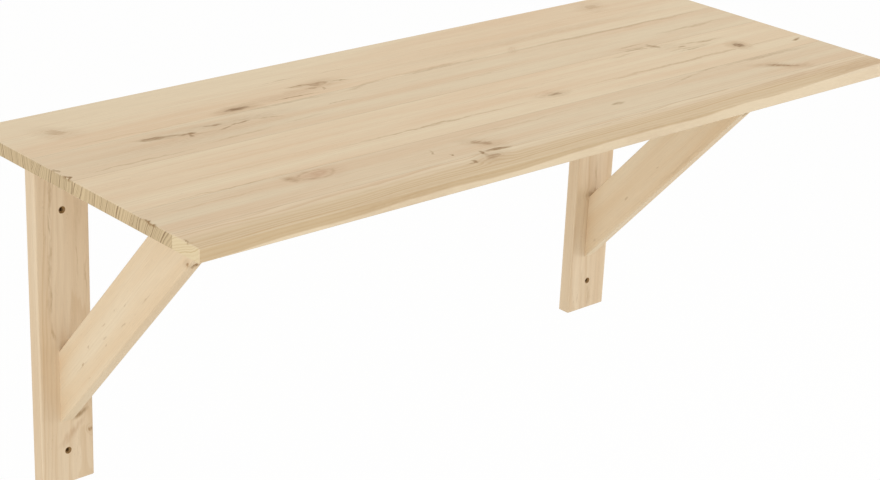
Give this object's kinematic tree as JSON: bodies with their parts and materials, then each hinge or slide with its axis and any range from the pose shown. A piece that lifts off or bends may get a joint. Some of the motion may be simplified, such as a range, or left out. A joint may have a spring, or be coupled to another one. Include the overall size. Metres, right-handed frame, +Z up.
{
  "type": "wall-mounted table",
  "caption": "Fixed wall table: an edge-glued pine top on wall posts with diagonal braces, screwed to a wall through countersunk holes in the posts.",
  "frame": {"origin": "centre of the rectangle of wall-screw holes, on the wall plane at the backs of the posts", "axes": "+X along the table, to the right as seen from the room; +Y into the wall; +Z up. The front edge of the top is at negative Y"},
  "size_m": [1.2, 0.475, 0.518],
  "materials": {
    "pine_top": "raw pine, sanded, edge-glued",
    "pine_post": "raw pine, planed",
    "pine_brace": "raw pine, planed",
    "beech_dowel": "turned beech",
    "zinc_screw": "zinc-plated steel"
  },
  "bodies": {
    "root": {"top_stave_rear": "pine_top", "top_stave_second": "pine_top", "top_stave_middle": "pine_top", "top_stave_fourth": "pine_top", "top_stave_front": "pine_top", "left_post": "pine_post", "right_post": "pine_post", "left_brace": "pine_brace", "right_brace": "pine_brace", "left_dowel_outer": "beech_dowel", "left_dowel_inner": "beech_dowel", "right_dowel_outer": "beech_dowel", "right_dowel_inner": "beech_dowel", "left_foot_screw_lower": "zinc_screw", "left_foot_screw_upper": "zinc_screw", "right_foot_screw_lower": "zinc_screw", "right_foot_screw_upper": "zinc_screw", "left_top_screw": "zinc_screw", "right_top_screw": "zinc_screw"}
  },
  "joints": []
}
